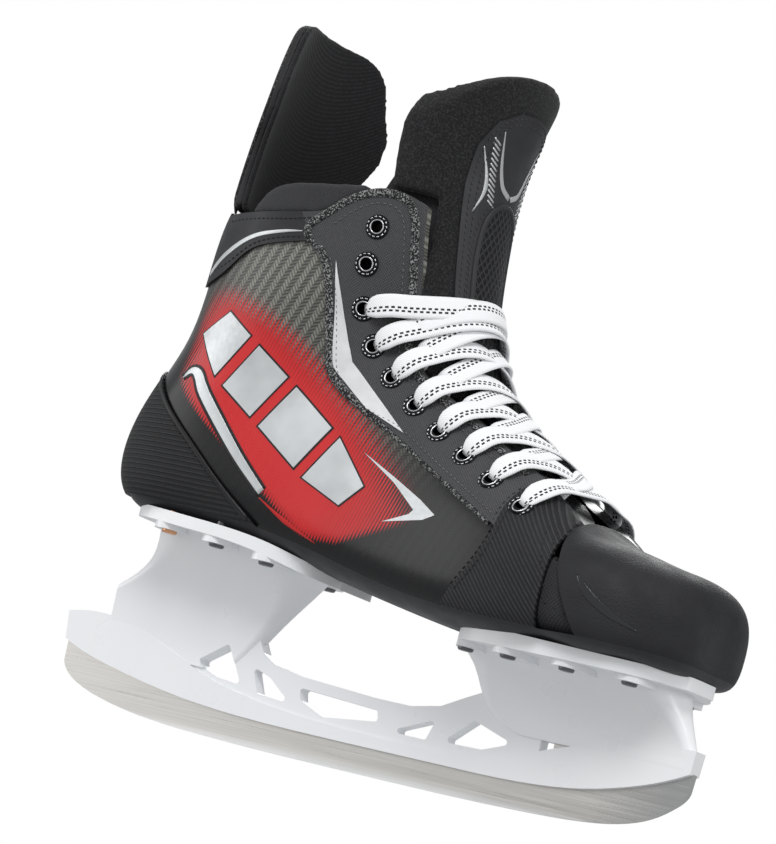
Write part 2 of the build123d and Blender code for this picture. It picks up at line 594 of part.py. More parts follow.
# ---------------------------------------------------------------- output
def main():
    os.makedirs("parts", exist_ok=True)
    boot = Boot()
    quarter_half = quarter(boot)
    eyestay_half = eyestay(boot)
    vamp_half = vamp_guard(boot)
    felt, cover = tongue_forms(boot)
    tongue_top, tongue_base = tongue_split(felt)
    cover_top, cover_base = tongue_split(cover)
    nodes = {
        "outsole": outsole(boot),
        "quarter_lateral": mirrored(quarter_half),
        "quarter_medial": quarter_half,
        "toe_cap": toe_cap(boot),
        "vamp_guard_lateral": mirrored(vamp_half),
        "vamp_guard_medial": vamp_half,
        "heel_counter": heel_counter(boot),
        "collar_band": collar_band(boot),
        "collar_pad": collar_pad(boot),
        "eyestay_lateral": mirrored(eyestay_half),
        "eyestay_medial": eyestay_half,
        "eyelets": eyelets(boot),
        "lace": lace(boot),
        "liner": liner(boot),
        "footbed": footbed(boot),
        "tongue_base": tongue_base,
        "tongue_base_cover": cover_base,
        "tongue_top": tongue_top,
        "tongue_top_cover": cover_top,
        "tendon_guard_tab": guard_tab(boot),
        "tendon_guard": guard_layer(0.0, GUARD_T),
        "tendon_guard_felt": guard_layer(GUARD_T, GUARD_FELT_T),
        "blade_holder": holder(boot),
        "steel_runner": runner(),
        "runner_bolts": runner_bolts(),
        "runner_nuts": runner_nuts(),
        "rivets_steel": rivets(boot.rivets[1:]),
        "rivets_copper": rivets(boot.rivets[:1]),
    }
    for name, shape in nodes.items():
        export_step(solids_of(shape), f"parts/{name}.step")


if __name__ == "__main__":
    main()
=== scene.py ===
"""Looks of a right-foot ice hockey skate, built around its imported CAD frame."""

import math

import bmesh
import bpy
from mathutils import Matrix, Vector
from mathutils.bvhtree import BVHTree
from mathutils.geometry import delaunay_2d_cdt


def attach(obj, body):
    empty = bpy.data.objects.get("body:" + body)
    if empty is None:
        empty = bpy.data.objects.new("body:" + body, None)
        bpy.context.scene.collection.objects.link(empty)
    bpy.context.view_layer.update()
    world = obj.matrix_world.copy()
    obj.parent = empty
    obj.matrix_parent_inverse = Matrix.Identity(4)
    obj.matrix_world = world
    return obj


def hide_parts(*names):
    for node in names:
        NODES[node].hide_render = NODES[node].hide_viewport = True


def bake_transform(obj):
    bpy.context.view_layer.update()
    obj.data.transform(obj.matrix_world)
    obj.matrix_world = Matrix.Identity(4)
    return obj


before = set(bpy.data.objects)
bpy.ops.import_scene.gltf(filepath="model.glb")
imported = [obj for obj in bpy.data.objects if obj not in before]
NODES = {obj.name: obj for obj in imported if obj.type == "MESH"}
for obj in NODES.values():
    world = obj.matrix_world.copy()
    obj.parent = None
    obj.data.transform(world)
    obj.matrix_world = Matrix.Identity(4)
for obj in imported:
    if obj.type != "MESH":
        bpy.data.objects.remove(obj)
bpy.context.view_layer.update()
MM = 0.001

# ---------------------------------------------------------------- camera, light, floor
AZIMUTH, ELEVATION, ROLL = 31.7, -6.9, 14.95      # degrees
DISTANCE = 1.7                                    # metres from the blade rest
LENS, SENSOR = 187.8, 36.0                        # millimetres
REST_RIGHT, REST_UP = -0.0410, -0.4160            # the blade rest from the frame's middle, in frame heights
SKATE_MIDDLE = (0, 0, 0.14)
FLOOR_HALF, FLOOR_LEVEL, DOME_RADIUS = 6.0, -0.75, 9.0
LIGHTS = (                                        # name, place, size, power in watts
    ("key", (0.5, -1.3, 1.6), 0.8, 21),
    ("fill", (-1.5, -0.9, 0.5), 1.2, 8),
    ("back", (-0.6, 1.6, 1.2), 1.0, 13),
    ("front", (1.8, -0.3, 0.7), 0.7, 6),
)


def add_camera():
    """A long lens on the outer side, a little in front and below, rolled in its own frame."""
    a, e, r = (math.radians(v) for v in (AZIMUTH, ELEVATION, ROLL))
    back = Vector((math.sin(a) * math.cos(e), -math.cos(a) * math.cos(e), math.sin(e)))
    level = Vector((math.cos(a), math.sin(a), 0))
    rise = back.cross(level)
    right = level * math.cos(r) + rise * math.sin(r)
    up = rise * math.cos(r) - level * math.sin(r)
    frame_height = DISTANCE * SENSOR / LENS
    place = back * DISTANCE - (right * REST_RIGHT + up * REST_UP) * frame_height
    data = bpy.data.cameras.new("camera")
    data.lens, data.sensor_width = LENS, SENSOR
    data.sensor_fit = "AUTO"
    camera = bpy.data.objects.new("camera", data)
    camera.matrix_world = Matrix.Translation(place) @ Matrix((right, up, back)).transposed().to_4x4()
    bpy.context.scene.collection.objects.link(camera)
    bpy.context.scene.camera = camera


def add_light(name, place, size, power):
    data = bpy.data.lights.new(name, "AREA")
    data.energy, data.size = power, size
    light = bpy.data.objects.new(name, data)
    light.location = place
    light.rotation_euler = (Vector(SKATE_MIDDLE) - Vector(place)).to_track_quat("-Z", "Y").to_euler()
    bpy.context.scene.collection.objects.link(light)


def add_studio():
    """Soft lights, a pale floor far below and a white backdrop all round."""
    world = bpy.data.worlds.new("studio")
    world.use_nodes = True
    sky = world.node_tree.nodes["Background"]
    sky.inputs["Color"].default_value = (0.97, 0.985, 1, 1)
    sky.inputs["Strength"].default_value = 0.50
    bpy.context.scene.world = world
    bpy.context.scene.view_settings.view_transform = "Standard"
    for light in LIGHTS:
        add_light(*light)
    floor_mesh = bpy.data.meshes.new("floor")
    corners = ((-1, -1), (1, -1), (1, 1), (-1, 1))
    floor_points = [(x * FLOOR_HALF, y * FLOOR_HALF, FLOOR_LEVEL) for x, y in corners]
    floor_mesh.from_pydata(floor_points, [], [(0, 1, 2, 3)])
    dome_mesh = bpy.data.meshes.new("backdrop")
    bm = bmesh.new()
    bmesh.ops.create_uvsphere(bm, u_segments=32, v_segments=16, radius=DOME_RADIUS)
    bm.to_mesh(dome_mesh)
    bm.free()
    for mesh in (floor_mesh, dome_mesh):
        stage_piece = bpy.data.objects.new(mesh.name, mesh)
        bpy.context.scene.collection.objects.link(stage_piece)
        mesh.materials.append(glowing(f"{mesh.name}_paper"))
        stage_piece.visible_diffuse = False
        stage_piece.visible_glossy = False
        stage_piece.visible_transmission = False
        stage_piece.visible_shadow = False


def glowing(name):
    """White paper lit evenly, for the floor and the backdrop."""
    mat = plain_material(name, (0.0, 0.0, 0.0), 1.0)
    shader = mat.node_tree.nodes["Principled BSDF"]
    shader.inputs["Specular IOR Level"].default_value = 0.0
    shader.inputs["Emission Color"].default_value = (1, 1, 1, 1)
    shader.inputs["Emission Strength"].default_value = 1.0
    return mat


# ---------------------------------------------------------------- materials
def plain_material(name, colour, rough, metal=0.0, coat=0.0):
    mat = bpy.data.materials.new(name)
    mat.use_nodes = True
    shader = mat.node_tree.nodes["Principled BSDF"]
    shader.inputs["Base Color"].default_value = (*colour, 1)
    shader.inputs["Roughness"].default_value = rough
    shader.inputs["Metallic"].default_value = metal
    shader.inputs["Coat Weight"].default_value = coat
    return mat


GLOSSY_SPECULAR, CLOTH_SPECULAR = 0.5, 0.28
WAVE_SCALE = 0.314             # scale times distance between two bands of a wave texture


class Paint:
    """A small builder of shader nodes on one material."""

    def __init__(self, name, colour, rough, metal=0.0, coat=0.0, sheen=0.0):
        self.mat = plain_material(name, colour, rough, metal, coat)
        self.tree = self.mat.node_tree
        self.shader = self.tree.nodes["Principled BSDF"]
        self.shader.inputs["Sheen Weight"].default_value = sheen
        specular = GLOSSY_SPECULAR if metal or coat else CLOTH_SPECULAR
        self.shader.inputs["Specular IOR Level"].default_value = specular
        self.place = self.add("ShaderNodeTexCoord").outputs["Object"]

    def add(self, kind, **settings):
        node = self.tree.nodes.new(kind)
        for key, value in settings.items():
            setattr(node, key, value)
        return node

    def link(self, value, socket):
        if isinstance(value, (int, float)):
            socket.default_value = value
        elif isinstance(value, tuple):
            needs_alpha = len(value) == 3 and len(socket.default_value) == 4
            socket.default_value = (*value, 1) if needs_alpha else value
        else:
            self.tree.links.new(value, socket)

    def math(self, operation, *values, clamp=False):
        node = self.add("ShaderNodeMath", operation=operation, use_clamp=clamp)
        for value, socket in zip(values, node.inputs):
            self.link(value, socket)
        return node.outputs[0]

    def axes(self):
        node = self.add("ShaderNodeSeparateXYZ")
        self.link(self.place, node.inputs[0])
        return node.outputs

    def mapped(self, scale=(1, 1, 1), turn=(0, 0, 0)):
        node = self.add("ShaderNodeMapping")
        self.link(self.place, node.inputs["Vector"])
        node.inputs["Scale"].default_value = scale
        node.inputs["Rotation"].default_value = turn
        return node.outputs[0]

    def noise(self, scale, detail=3.0, vector=None):
        node = self.add("ShaderNodeTexNoise")
        self.link(vector or self.place, node.inputs["Vector"])
        node.inputs["Scale"].default_value = scale
        node.inputs["Detail"].default_value = detail
        return node.outputs["Fac"]

    def cells(self, scale):
        node = self.add("ShaderNodeTexVoronoi")
        self.link(self.place, node.inputs["Vector"])
        node.inputs["Scale"].default_value = scale
        return node.outputs["Distance"]

    def wave(self, pitch, vector=None, direction="X", distortion=0.0):
        """Bands a pitch apart, in millimetres."""
        node = self.add("ShaderNodeTexWave", bands_direction=direction)
        self.link(vector or self.place, node.inputs["Vector"])
        node.inputs["Scale"].default_value = WAVE_SCALE / (pitch * MM)
        node.inputs["Distortion"].default_value = distortion
        return node.outputs["Fac"]

    def ramp(self, value, low, high, start=0.0, end=1.0):
        """Maps low to start and high to end, and holds the ends beyond them; low may be above high."""
        node = self.add("ShaderNodeMapRange", clamp=True)
        keys = ("Value", "From Min", "From Max", "To Min", "To Max")
        for key, v in zip(keys, (value, low, high, start, end)):
            self.link(v, node.inputs[key])
        return node.outputs[0]

    def mix(self, factor, first, second):
        node = self.add("ShaderNodeMix", data_type="RGBA")
        for value, socket in ((factor, node.inputs[0]), (first, node.inputs[6]), (second, node.inputs[7])):
            self.link(value, socket)
        return node.outputs[2]

    def colour(self, value):
        self.link(value, self.shader.inputs["Base Color"])

    def rough(self, value):
        self.link(value, self.shader.inputs["Roughness"])

    def bump(self, height, strength=0.3, depth=0.0004):
        node = self.add("ShaderNodeBump")
        node.inputs["Strength"].default_value = strength
        node.inputs["Distance"].default_value = depth
        self.link(height, node.inputs["Height"])
        self.tree.links.new(node.outputs[0], self.shader.inputs["Normal"])


def holder_plastic():
    p = Paint("holder_white", (0.80, 0.82, 0.86), 0.3, coat=0.2)
    p.colour(p.mix(p.noise(14), (0.86, 0.875, 0.90), (0.93, 0.935, 0.945)))
    p.rough(p.ramp(p.noise(60), 0.3, 0.7, 0.26, 0.38))
    p.bump(p.noise(900, 2), 0.05, 0.0002)
    return p.mat


def runner_steel():
    p = Paint("runner_steel", (0.62, 0.60, 0.57), 0.3, metal=1.0)
    p.shader.inputs["Anisotropic"].default_value = 0.5
    x, _, z = p.axes()
    grain = p.noise(420, 4, p.mapped((0.05, 1.0, 4.0)))
    body = p.mix(grain, (0.50, 0.48, 0.45), (0.80, 0.78, 0.75))
    ground = p.mix(p.ramp(z, 0.0, 0.0035), (0.92, 0.92, 0.92), body)
    p.colour(p.mix(p.ramp(x, 0.105, 0.135), ground, (0.55, 0.55, 0.54)))
    p.rough(p.math("ADD", p.ramp(grain, 0.3, 0.7, 0.26, 0.44), p.ramp(x, 0.1, 0.135, 0.0, -0.14)))
    p.bump(grain, 0.12, 0.0001)
    return p.mat


def dark_moulding(name, colour, rough, grain=1400, strength=0.12, coat=0.0):
    p = Paint(name, colour, rough, coat=coat)
    pale = tuple(min(1, c * 1.6 + 0.006) for c in colour)
    p.colour(p.mix(p.ramp(p.noise(30, 5), 0.35, 0.75), colour, pale))
    p.rough(p.ramp(p.noise(90), 0.3, 0.7, rough - 0.06, rough + 0.08))
    p.bump(p.cells(grain), strength, 0.00025)
    return p.mat


def weave_cloth(name, dark, light, pitch=1.0, sheen=0.1, rough=0.85, strength=0.5):
    """A woven or knitted cloth whose threads are about pitch millimetres apart."""
    p = Paint(name, dark, rough, sheen=sheen)
    up = p.wave(pitch, p.mapped(turn=(0.2, 0.78, 0)), "X", 0.6)
    along = p.wave(pitch, p.mapped(turn=(0.2, -0.78, 0)), "X", 0.6)
    threads = p.math("MULTIPLY", up, along)
    tone = p.mix(0.35, threads, p.noise(900, 3))
    p.colour(p.mix(tone, dark, light))
    p.bump(threads, strength, 0.0004)
    return p.mat


def felt_cloth(name, dark, light, sheen=0.25):
    p = Paint(name, dark, 0.95, sheen=sheen)
    p.shader.inputs["Sheen Roughness"].default_value = 0.6
    fuzz = p.noise(1300, 6)
    p.colour(p.mix(p.ramp(fuzz, 0.45, 0.70), dark, light))
    p.bump(fuzz, 0.6, 0.0006)
    return p.mat


def diagonal_twill(name, dark, light, pitch):
    p = Paint(name, dark, 0.9, sheen=0.1)
    ribs = p.wave(pitch, p.mapped(turn=(0, 0.9, 0.5)), "Z", 0.5)
    p.colour(p.mix(p.math("MULTIPLY", ribs, p.ramp(p.noise(900), 0.3, 0.6)), dark, light))
    p.bump(ribs, 0.25, 0.0002)
    return p.mat


def net_cloth(name):
    """Open black spacer mesh: rows of lens-shaped holes between shiny cords."""
    p = Paint(name, (0.012, 0.012, 0.013), 0.55)
    a = p.wave(2.6, p.mapped(turn=(0.62, 0, 0)), "Y", 0.5)
    b = p.wave(2.6, p.mapped(turn=(-0.62, 0, 0)), "Y", 0.5)
    cord = p.math("MAXIMUM", a, b)
    net = p.ramp(cord, 0.55, 0.9)
    cord_colour = p.mix(p.noise(1500), (0.012, 0.012, 0.013), (0.045, 0.045, 0.05))
    p.colour(p.mix(net, (0.002, 0.002, 0.002), cord_colour))
    p.bump(net, 1.0, 0.0012)
    return p.mat


def quarter_skin():
    """Dark woven composite: slanted bands of twill, a painted highlight on its upper part, a red area fading
    in fine lines, gloss low down.
    """
    p = Paint("quarter_weave", (0.03, 0.03, 0.033), 0.3, coat=0.1)
    p.shader.inputs["Coat Roughness"].default_value = 0.22
    p.shader.inputs["Specular IOR Level"].default_value = 0.3
    x, _, z = p.axes()
    bands = p.wave(4.6, p.mapped(turn=(0, -0.42, 0)), "X")
    first = p.wave(1.25, p.mapped(turn=(0, 0.35, 0)), "Z")
    second = p.wave(1.25, p.mapped(turn=(0, -1.05, 0)), "Z")
    in_band = p.ramp(bands, 0.42, 0.58)
    dim_band = p.mix(first, (0.1, 0.1, 0.1), (0.5, 0.5, 0.5))
    pale_band = p.mix(second, (0.35, 0.35, 0.35), (1.0, 1.0, 1.0))
    tone = p.mix(in_band, dim_band, pale_band)
    tone = p.math("MULTIPLY", tone, p.ramp(p.noise(1100, 3), 0.25, 0.6, 0.6, 1.0))
    # Painted highlight: higher up, and fading out towards the rear edge, the weave turns to a paler
    # olive-grey copy, as if light caught the threads.
    lift = p.math("MULTIPLY", p.ramp(z, 0.100, 0.180), p.ramp(x, -0.112, -0.080))
    dull = p.mix(tone, (0.009, 0.009, 0.010), (0.034, 0.035, 0.032))
    bright = p.mix(tone, (0.018, 0.018, 0.017), (0.30, 0.305, 0.265))
    weave = p.mix(lift, dull, bright)
    # The gloss lies below a line that rises towards the heel, and in front of a slanted one.
    behind = p.math("MAXIMUM", p.math("SUBTRACT", -0.02, x), 0.0)
    low_rim = p.math("SUBTRACT", z, p.math("MULTIPLY", behind, 0.80))
    low_front = p.math("SUBTRACT", p.math("MULTIPLY", x, 0.9), p.math("SUBTRACT", z, 0.105))
    gloss = p.math("MAXIMUM", p.ramp(low_rim, 0.098, 0.082), p.ramp(low_front, -0.012, 0.030))
    weave = p.mix(gloss, weave, (0.006, 0.006, 0.007))
    # Distance from a slanted middle line, growing upwards, in metres.
    across = p.math("ADD", z, p.math("ADD", p.math("MULTIPLY", x, 0.66), -0.0925))
    over = p.ramp(across, 0.036, 0.010)
    under = p.ramp(across, -0.032, -0.026)
    ahead = p.math("MAXIMUM", p.math("ADD", x, 0.012), 0.0)
    floor = p.math("ADD", 0.0815, p.math("MULTIPLY", ahead, 0.36))
    foot = p.ramp(p.math("SUBTRACT", z, floor), -0.001, 0.004)
    front = p.ramp(x, 0.036, -0.030)
    rear = p.ramp(x, -0.108, -0.088)
    top = p.ramp(z, 0.180, 0.158)
    zone = p.math("MULTIPLY", p.math("MULTIPLY", over, under), p.math("MULTIPLY", front, rear))
    zone = p.math("MULTIPLY", p.math("MULTIPLY", zone, foot), top)
    lines = p.wave(1.5, p.mapped(turn=(0, -0.30, 0)), "X")
    threshold = p.math("SUBTRACT", 1.0, zone)
    raised_lines = p.math("ADD", p.math("MULTIPLY", lines, 0.45), 0.55)
    inked = p.ramp(p.math("SUBTRACT", raised_lines, threshold), -0.02, 0.16)
    red = p.mix(p.ramp(lines, 0.0, 0.5), (0.30, 0.012, 0.012), (0.56, 0.016, 0.018))
    red = p.mix(p.ramp(zone, 0.5, 0.95), red, (0.62, 0.020, 0.022))
    p.colour(p.mix(p.math("MULTIPLY", inked, p.ramp(zone, 0.04, 0.3)), weave, red))
    p.rough(p.math("ADD", p.ramp(gloss, 0.0, 1.0, 0.42, 0.24), p.math("MULTIPLY", tone, 0.08)))
    p.bump(p.math("MULTIPLY", tone, p.ramp(gloss, 0.0, 1.0, 1.0, 0.0)), 0.2, 0.0002)
    return p.mat


def ribbed_overlay(name, dark, light, pitch, turn, rough=0.6):
    p = Paint(name, dark, rough)
    ribs = p.wave(pitch, p.mapped(turn=(0, turn, 0)), "X", 0.3)
    p.colour(p.mix(p.math("MULTIPLY", p.ramp(ribs, 0.45, 0.9), p.noise(700)), dark, light))
    p.bump(p.ramp(ribs, 0.35, 0.8), 0.8, 0.0006)
    return p.mat


def metal(name, colour, rough):
    p = Paint(name, colour, rough, metal=1.0)
    dim, bright = tuple(c * 0.75 for c in colour), tuple(min(1, c * 1.15) for c in colour)
    p.colour(p.mix(p.noise(200, 4), dim, bright))
    p.rough(p.ramp(p.noise(800), 0.3, 0.7, rough - 0.08, rough + 0.1))
    p.bump(p.noise(1800, 2), 0.1, 0.0001)
    return p.mat


def silver_film(name, colour, rough=0.34):
    """A printed or welded reflective film, brighter and darker in soft clouds."""
    p = Paint(name, colour, rough, metal=0.35)
    p.colour(p.mix(p.ramp(p.noise(45, 3), 0.3, 0.7), tuple(c * 0.72 for c in colour), colour))
    p.rough(p.ramp(p.noise(500), 0.3, 0.7, rough - 0.05, rough + 0.1))
    p.bump(p.noise(1500, 2), 0.08, 0.0001)
    return p.mat


def speckled(name, dark, light, share=0.55, scale=1500):
    """Heather piping: pale fibres among black ones."""
    p = Paint(name, dark, 0.9, sheen=0.1)
    p.colour(p.mix(p.ramp(p.noise(scale, 2), share - 0.05, share + 0.08), dark, light))
    p.bump(p.noise(1200, 3), 0.6, 0.0005)
    return p.mat


CHEVRONS, DASHES = 1.05, 0.42      # in each millimetre of lace
DASH_HALF, DASH_GAP = 0.42, 0.42   # half width in millimetres, and the share of a dash's length left white


def lace_weave():
    """White flat braid with chevrons and two lines of black dashes; U across, V along, in millimetres."""
    p = Paint("lace_braid", (0.86, 0.86, 0.87), 0.85, sheen=0.15)
    uv = p.add("ShaderNodeSeparateXYZ")
    p.link(p.add("ShaderNodeTexCoord").outputs["UV"], uv.inputs[0])
    u, v = uv.outputs[0], uv.outputs[1]
    away = p.math("ABSOLUTE", u)
    slant = p.math("ADD", v, p.math("MULTIPLY", away, 0.8))
    saw = p.math("FRACT", p.math("MULTIPLY", slant, CHEVRONS))
    rows = p.math("ABSOLUTE", p.math("SUBTRACT", saw, 0.5))
    cloth = p.mix(p.ramp(rows, 0.0, 0.35), (0.80, 0.80, 0.83), (0.95, 0.95, 0.96))
    beat = p.math("MULTIPLY", v, DASHES)
    dashed = []
    for middle, place in ((0.75, beat), (2.1, p.math("ADD", beat, 0.35))):
        on_line = p.math("LESS_THAN", p.math("ABSOLUTE", p.math("SUBTRACT", u, middle)), DASH_HALF)
        in_dash = p.math("GREATER_THAN", p.math("FRACT", place), DASH_GAP)
        dashed.append(p.math("MULTIPLY", on_line, in_dash))
    tracer = p.math("MAXIMUM", *dashed)
    p.colour(p.mix(tracer, cloth, (0.02, 0.02, 0.022)))
    p.bump(rows, 0.35, 0.0002)
    return p.mat


FINISH = {
    "blade_holder": holder_plastic,
    "steel_runner": runner_steel,
    "outsole": lambda: dark_moulding("sole_plate", (0.022, 0.022, 0.025), 0.5, 900, 0.2),
    "quarter_lateral": quarter_skin,
    "toe_cap": lambda: dark_moulding("toe_cap_shell", (0.013, 0.013, 0.015), 0.62, 1300, 0.5),
    "vamp_guard_lateral": lambda: ribbed_overlay(
        "vamp_ribs", (0.014, 0.014, 0.015), (0.060, 0.060, 0.064), 1.5, 0.75),
    "heel_counter": lambda: ribbed_overlay(
        "counter_ribs", (0.012, 0.012, 0.013), (0.040, 0.040, 0.043), 1.9, 1.57),
    "collar_band": lambda: dark_moulding("band_skin", (0.016, 0.016, 0.018), 0.5, 1300, 0.2),
    "eyestay_lateral": lambda: weave_cloth(
        "facing_cloth", (0.036, 0.036, 0.038), (0.115, 0.116, 0.120), 0.8),
    "eyelets": lambda: metal("eyelet_black", (0.02, 0.02, 0.022), 0.5),
    "liner": lambda: weave_cloth("liner_cloth", (0.018, 0.018, 0.020), (0.055, 0.055, 0.060), 1.1),
    "footbed": lambda: weave_cloth("footbed_cloth", (0.10, 0.10, 0.11), (0.22, 0.22, 0.24), 1.4),
    "tendon_guard": lambda: dark_moulding("guard_skin", (0.012, 0.012, 0.013), 0.6, 1200, 0.2),
    "tendon_guard_tab": lambda: dark_moulding("guard_tab_skin", (0.014, 0.014, 0.016), 0.55),
    "rivets_steel": lambda: metal("rivet_steel", (0.16, 0.16, 0.17), 0.32),
    "rivets_copper": lambda: metal("rivet_copper", (0.80, 0.42, 0.24), 0.3),
    "runner_bolts": lambda: metal("bolt_steel", (0.45, 0.45, 0.47), 0.35),
}
SAME_FINISH = {
    "quarter_medial": "quarter_lateral",
    "vamp_guard_medial": "vamp_guard_lateral",
    "eyestay_medial": "eyestay_lateral",
    "runner_nuts": "runner_bolts",
    "collar_pad": "liner",
    "tendon_guard_felt": "liner",
    "tongue_base": "liner",
    "tongue_top": "liner",
    "tongue_base_cover": "collar_band",
    "tongue_top_cover": "collar_band",
    "lace": "footbed",
}


def finish_nodes():
    """Puts one material on each CAD node, and returns the materials by node name."""
    made = {name: make() for name, make in FINISH.items()}
    for name, node in NODES.items():
        mat = made[SAME_FINISH.get(name, name)]
        node.data.materials.clear()
        node.data.materials.append(mat)
        for polygon in node.data.polygons:
            polygon.material_index = 0
    return made


# ---------------------------------------------------------------- geometry
SIDES = (("lateral", -1), ("medial", 1))
STEP = 0.0015                  # spacing of points along seams
FAR_X, FAR_Y = 0.3, 0.2        # where rays start, outside the skate
EASING_ROUNDS = 2              # how often a seam is smoothed after it is laid on its surface
NEAR_SKATE = 0.16              # how far along a ray that misses the search for the nearest point starts


def new_piece(name, verts, faces, mat, smooth=True):
    """A mesh object of one material."""
    mesh = bpy.data.meshes.new(name)
    mesh.from_pydata([tuple(v) for v in verts], [], faces)
    mesh.update()
    mesh.polygons.foreach_set("use_smooth", [smooth] * len(mesh.polygons))
    obj = bpy.data.objects.new(name, mesh)
    bpy.context.scene.collection.objects.link(obj)
    obj.data.materials.append(mat)
    return obj


def bake(obj):
    """Replaces the object's mesh by what its modifiers make of it."""
    bpy.context.view_layer.update()
    final = bpy.data.meshes.new_from_object(obj.evaluated_get(bpy.context.evaluated_depsgraph_get()))
    obj.modifiers.clear()
    obj.data = final
    return final


def joined_mesh(objects):
    """The vertices and faces of several objects as one pair of lists."""
    verts, polys = [], []
    for obj in objects:
        start = len(verts)
        verts += [v.co.copy() for v in obj.data.vertices]
        polys += [[start + i for i in polygon.vertices] for polygon in obj.data.polygons]
    return verts, polys


class Surface:
    """Places points on a group of meshes: along Y from the side of a sign, or along X from front or rear."""

    def __init__(self, objects, view):
        verts, polys = joined_mesh(objects)
        self.tree = BVHTree.FromPolygons(verts, polys)
        self.view = view

    def ray(self, a, b):
        if self.view == "front":
            return Vector((FAR_X, a, b)), Vector((-1, 0, 0))
        if self.view == "rear":
            return Vector((-FAR_X, a, b)), Vector((1, 0, 0))
        return Vector((a, FAR_Y * self.view, b)), Vector((0, -self.view, 0))

    def hit(self, a, b, lift=0.0):
        start, way = self.ray(a, b)
        point, normal, _, _ = self.tree.ray_cast(start, way)
        if point is None:
            point, normal, _, _ = self.tree.find_nearest(start + way * NEAR_SKATE)
        if normal.dot(way) > 0:
            normal = -normal
        return point + normal * lift, normal


def smooth_line(points, step=STEP, closed=False):
    """Points about a step apart on a smooth curve through the given ones, each with its share of the way."""
    pts = [Vector(p) for p in points]
    out = []
    count = len(pts) if closed else len(pts) - 1
    for i in range(count):
        if closed:
            before, a, b, after = pts[i - 1], pts[i], pts[(i + 1) % len(pts)], pts[(i + 2) % len(pts)]
        else:
            before, a, b = pts[max(i - 1, 0)], pts[i], pts[i + 1]
            after = pts[min(i + 2, len(pts) - 1)]
        reach = (b - a).length / 3
        start = a + (b - before).normalized() * reach
        end = b - (after - a).normalized() * reach
        n = max(2, round((b - a).length / step))
        for k in range(n):
            t = k / n
            u = 1 - t
            point = a * u ** 3 + start * 3 * u * u * t + end * 3 * u * t * t + b * t ** 3
            out.append((point, (i + t) / count))
    if not closed:
        out.append((pts[-1], 1.0))
    return out


def width_at(widths, share):
    """One width for the whole way, or a list of them spread evenly along it."""
    if not isinstance(widths, (list, tuple)):
        return widths
    place = share * (len(widths) - 1)
    i = min(int(place), len(widths) - 2)
    return widths[i] + (widths[i + 1] - widths[i]) * (place - i)


# Profiles of strips, as shares of their width and height.
ROUND = [(-0.5, -0.3), (-0.48, 0.35), (-0.33, 0.8), (-0.12, 1.0),
         (0.12, 1.0), (0.33, 0.8), (0.48, 0.35), (0.5, -0.3)]
FLAT = [(-0.5, -0.5), (-0.5, 0.85), (-0.45, 1.0), (0.45, 1.0), (0.5, 0.85), (0.5, -0.5)]


def sweep(frames, profile, closed=False):
    """Vertices and faces of a profile carried along frames of (point, across, up, width, height)."""
    verts, faces, n = [], [], len(profile)
    for point, across, up, width, height in frames:
        verts += [point + across * (s * width) + up * (h * height) for s, h in profile]
    rings = len(frames)
    for i in range(rings if closed else rings - 1):
        a, b = i * n, ((i + 1) % rings) * n
        faces += [(a + k, a + (k + 1) % n, b + (k + 1) % n, b + k) for k in range(n)]
    if not closed:
        faces += [tuple(reversed(range(n))), tuple((rings - 1) * n + k for k in range(n))]
    return verts, faces


def seam_frames(surface, points, width, height, closed=False, lift=0.0, step=STEP):
    """Frames for sweep() along a smooth line laid on a surface; points, width and height in millimetres."""
    line = smooth_line([(p[0] * MM, p[1] * MM) for p in points], step, closed)
    placed = [(*surface.hit(p[0], p[1], lift), share) for p, share in line]
    last = len(placed) - 1
    for _ in range(EASING_ROUNDS if last > 3 else 0):
        eased = []
        for i, (point, normal, share) in enumerate(placed):
            if closed or 0 < i < last:
                near = placed[i - 1], placed[(i + 1) % (last + 1)]
                point = point * 0.5 + (near[0][0] + near[1][0]) * 0.25
                normal = (normal + near[0][1] + near[1][1]).normalized()
            eased.append((point, normal, share))
        placed = eased
    frames = []
    for i, (point, normal, share) in enumerate(placed):
        before = placed[i - 1][0] if i or closed else point
        after = placed[(i + 1) % len(placed)][0] if i < last or closed else point
        along = (after - before).normalized()
        across = along.cross(normal).normalized()
        frames.append((point, across, normal, width_at(width, share) * MM, height * MM))
    return frames


def strip(name, surface, points, width, height, mat, profile=ROUND, closed=False):
    verts, faces = sweep(seam_frames(surface, points, width, height, closed), profile, closed)
    return new_piece(name, verts, faces, mat)


STITCH_SIDES = 6
STITCH_LIFT = 0.15             # millimetres above the cloth
# Shares of a stitch's length and radius: where its two rings stand, how wide they are, how deep its tips lie.
STITCH_RING, STITCH_GIRTH, STITCH_DIP = 0.28, 0.85, 0.6


def stitch_row(surface, points, pitch, length, radius, closed=False):
    """Vertices and faces of a row of stitches, each a short six-sided bead whose tips dip into the cloth."""
    frames = seam_frames(surface, points, 1, 1, closed, STITCH_LIFT * MM, pitch * MM)
    length, radius = length * MM, radius * MM
    verts, faces = [], []
    for i in range(len(frames) - 1):
        (a, across, up, _, _), b = frames[i], frames[i + 1][0]
        middle, along = (a + b) / 2, (b - a).normalized()
        tip, dip = along * length / 2, up * radius * STITCH_DIP
        turns = [math.tau * k / STITCH_SIDES for k in range(STITCH_SIDES)]
        spokes = [(across * math.cos(turn) + up * math.sin(turn)) * STITCH_GIRTH * radius for turn in turns]
        start = len(verts)
        verts.append(middle - tip - dip)
        for share in (-STITCH_RING, STITCH_RING):
            verts += [middle + along * share * length + spoke for spoke in spokes]
        verts.append(middle + tip - dip)
        near, far, end = start + 1, start + 1 + STITCH_SIDES, start + 1 + 2 * STITCH_SIDES
        around = [(k, (k + 1) % STITCH_SIDES) for k in range(STITCH_SIDES)]
        faces += [(start, near + after, near + k) for k, after in around]
        faces += [(near + k, near + after, far + after, far + k) for k, after in around]
        faces += [(far + k, far + after, end) for k, after in around]
    return verts, faces


